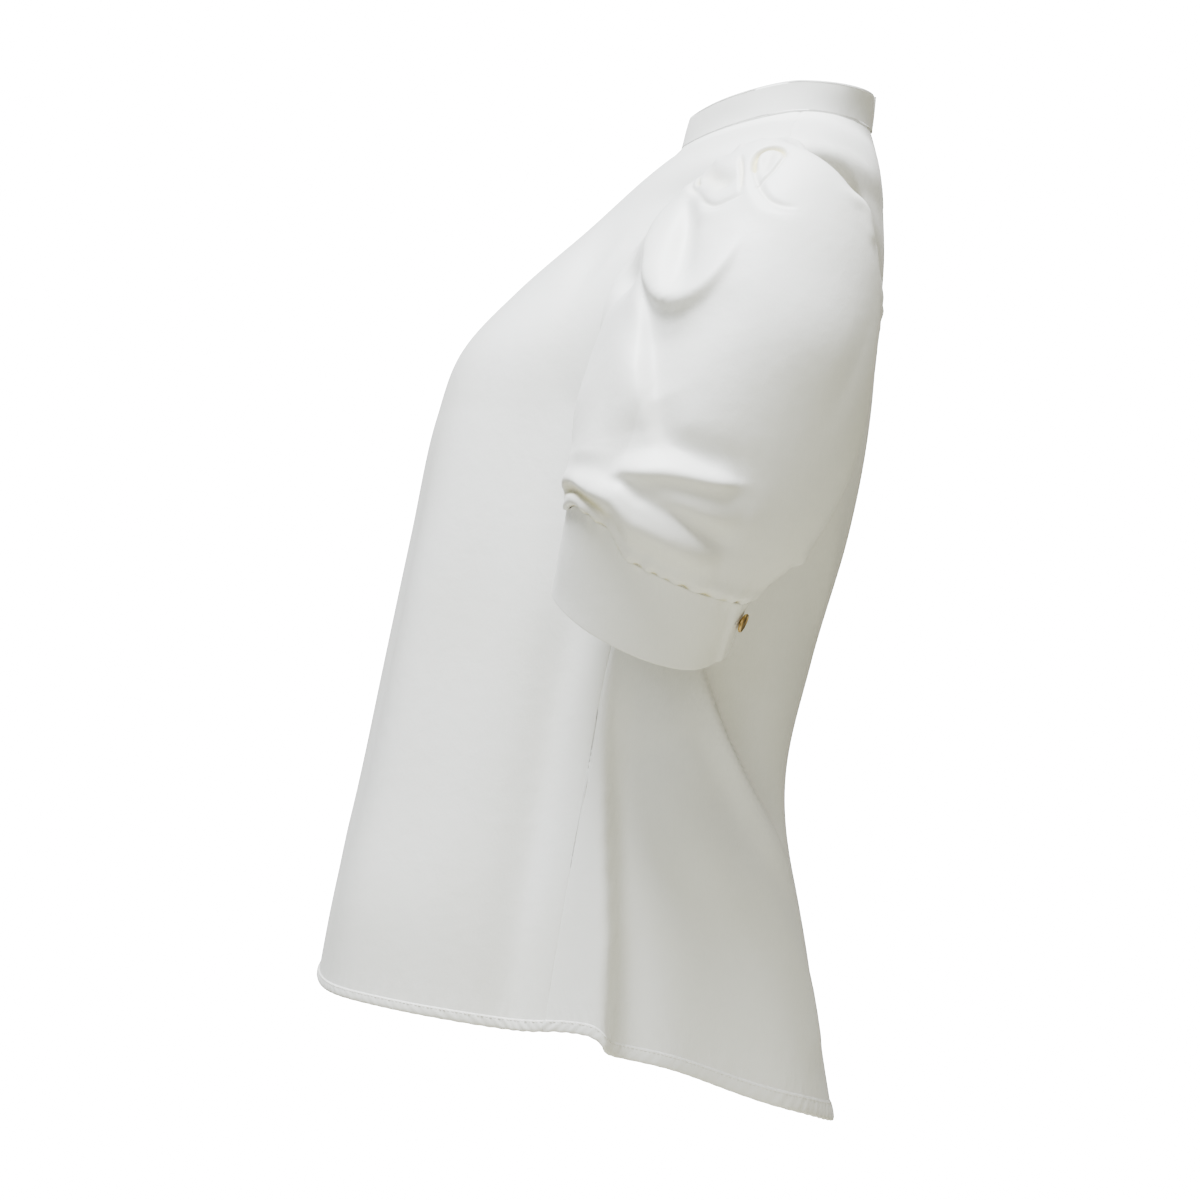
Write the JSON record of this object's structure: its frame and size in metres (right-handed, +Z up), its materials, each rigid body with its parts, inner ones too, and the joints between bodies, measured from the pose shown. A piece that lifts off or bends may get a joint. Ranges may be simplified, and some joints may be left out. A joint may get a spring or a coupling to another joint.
{
  "type": "puff-sleeve blouse",
  "caption": "White satin blouse with a stand collar, pleated puff sleeves gathered into buttoned cuffs and a hem that dips at the back, in its worn shape.",
  "frame": {"origin": "on the centre plane, level with the points where the collar seam meets the shoulder seams: the place where a wearer's neck and shoulders hold the blouse up", "axes": "+Z up; the wearer faces -Y; +X is the wearer's left"},
  "size_m": [0.6012, 0.3645, 0.6549],
  "materials": {
    "satin": "soft satin sheen, ivory white",
    "brass": "warm, slightly worn"
  },
  "bodies": {
    "root": {"front": "satin", "back_left": "satin", "back_right": "satin", "collar": "satin", "sleeve_left": "satin", "sleeve_right": "satin", "cuff_left": "satin", "cuff_right": "satin", "cuff_button_left": "brass", "cuff_button_right": "brass"}
  },
  "joints": []
}
